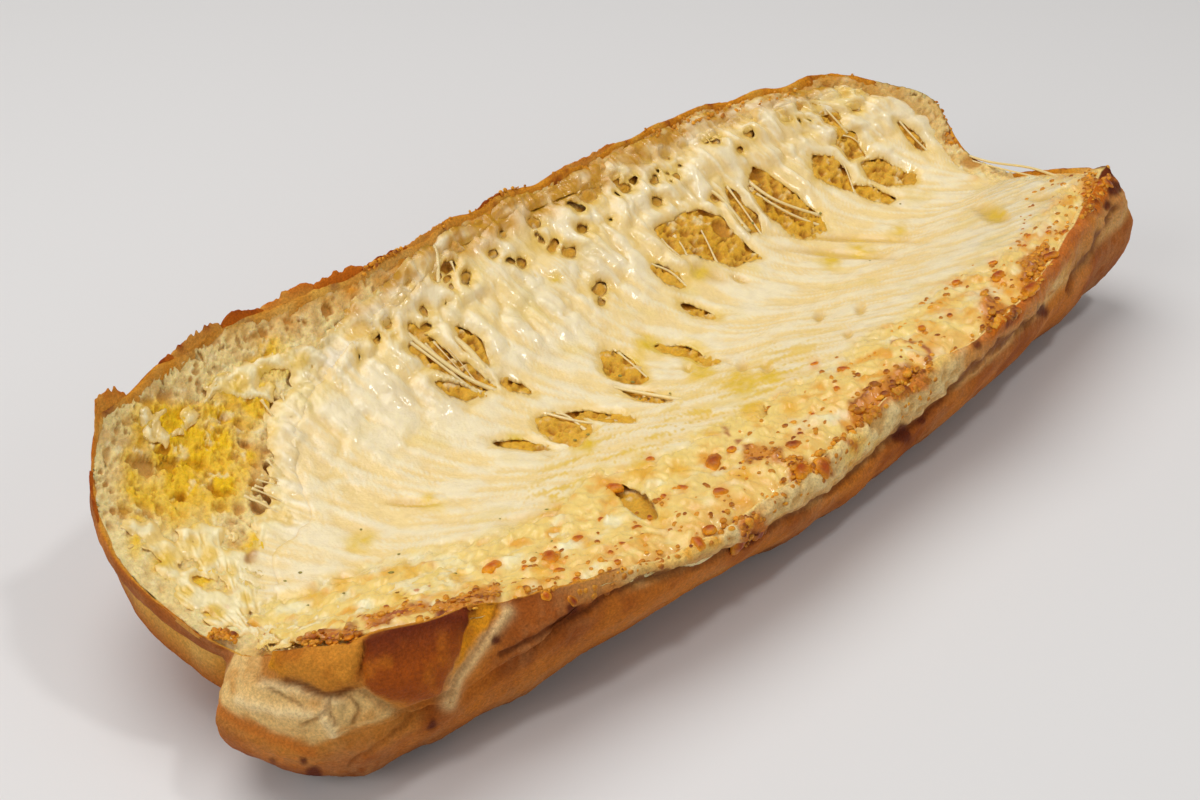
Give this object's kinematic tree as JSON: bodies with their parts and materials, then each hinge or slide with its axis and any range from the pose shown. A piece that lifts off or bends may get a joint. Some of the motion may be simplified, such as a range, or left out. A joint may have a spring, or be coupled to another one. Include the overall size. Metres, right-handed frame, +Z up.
{
  "type": "cheesy garlic bread",
  "caption": "Long bread roll cut lengthwise and opened like a book, baked with garlic butter under a torn sheet of melted, browned cheese",
  "frame": {"origin": "middle of the outline at the base, on the surface that the bread lies on", "axes": "+X along the loaf, +Y towards the half that leans up, +Z up"},
  "size_m": [0.2854, 0.1194, 0.0511],
  "materials": {
    "baked_bread": "floury golden crust and soft buttered crumb, matte",
    "melted_cheese": "creamy melted cheese, softly glossy with browned blisters"
  },
  "bodies": {
    "root": {"bread": "baked_bread", "cheese": "melted_cheese"}
  },
  "joints": []
}
